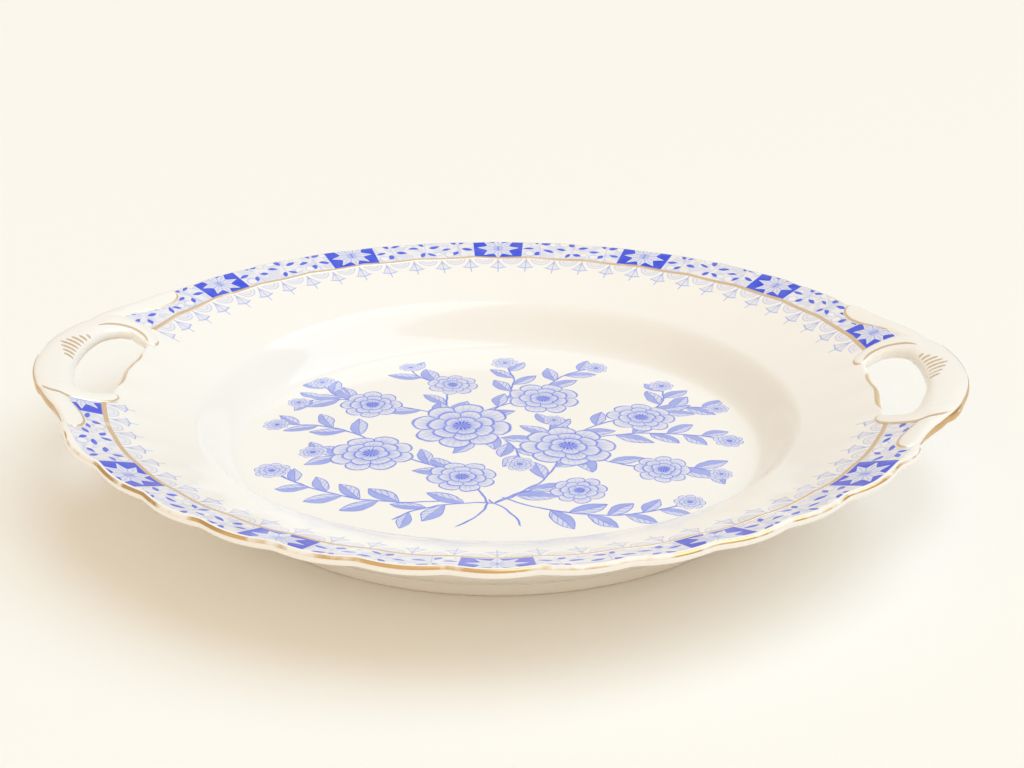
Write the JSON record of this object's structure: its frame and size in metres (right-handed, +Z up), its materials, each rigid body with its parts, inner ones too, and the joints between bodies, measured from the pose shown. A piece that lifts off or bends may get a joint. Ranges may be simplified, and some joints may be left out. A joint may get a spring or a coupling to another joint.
{
  "type": "china dish",
  "caption": "Round china dish with a shallow well, a lobed and fluted rim with gilded lines, a foot ring and pierced scroll handles at both ends, for serving cakes.",
  "frame": {"origin": "middle of the plane that the foot ring stands on", "axes": "+X through the middle of one handle, +Z up out of the well"},
  "size_m": [0.2874, 0.2596, 0.0365],
  "materials": {
    "glazed_china": "clear glossy glaze over warm white china, with a blue print on the well and the rim",
    "bare_china": "ground, unglazed standing ring",
    "gilding": "fired gold, burnished and a little worn"
  },
  "bodies": {
    "root": {"dish_body": "glazed_china", "foot_ring": "bare_china", "handle_left": "glazed_china", "handle_right": "glazed_china", "edge_gilding_back": "gilding", "edge_gilding_front": "gilding", "border_gold_line_back": "gilding", "border_gold_line_front": "gilding", "handle_gold_line_left": "gilding", "handle_gold_line_right": "gilding", "finger_gap_gold_line_left": "gilding", "finger_gap_gold_line_right": "gilding"}
  },
  "joints": []
}
